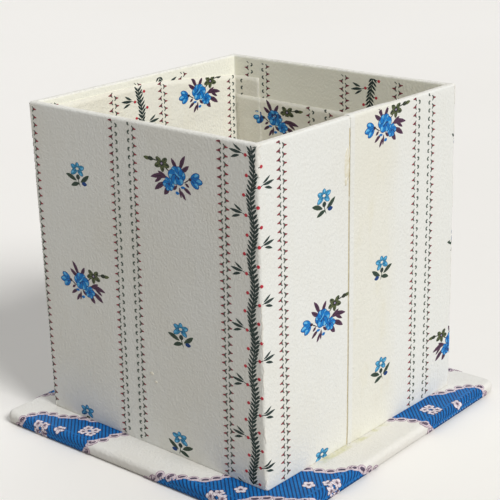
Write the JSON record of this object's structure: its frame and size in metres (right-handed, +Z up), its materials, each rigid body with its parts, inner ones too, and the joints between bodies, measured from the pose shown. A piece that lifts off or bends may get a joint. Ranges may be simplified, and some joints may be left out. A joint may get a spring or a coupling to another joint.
{
  "type": "keepsake box",
  "caption": "Small open square keepsake box of board covered with pasted floral paper, glued to a slightly larger covered base plate.",
  "frame": {"origin": "centre of the underside of the base plate, on the surface it stands on", "axes": "+Z up; the box's walls face along X and Y, with the lapped seam of the cover on the +X wall, and the base plate turned 1.5 degrees about +Z"},
  "size_m": [0.1024, 0.1024, 0.0916],
  "materials": {
    "greyboard": "stiff pasted greyboard, matt",
    "floral_cover": "uncoated cream paper with a small floral print and stitched stripes",
    "floral_lining": "uncoated cream paper, the cover's print",
    "floral_floor": "uncoated cream paper, the cover's print",
    "ribbon_paper": "uncoated cream paper with ribbed blue ribbons edged with lace",
    "plain_backing": "plain cream paper, matt"
  },
  "bodies": {
    "root": {"wall_board_front": "greyboard", "wall_board_back": "greyboard", "wall_board_left": "greyboard", "wall_board_right": "greyboard", "floor_board": "greyboard", "plate_board": "greyboard", "outer_cover": "floral_cover", "lining_left": "floral_lining", "lining_right": "floral_lining", "lining_front": "floral_lining", "lining_back": "floral_lining", "floor_lining": "floral_floor", "plate_cover": "ribbon_paper", "plate_backing": "plain_backing"}
  },
  "joints": []
}
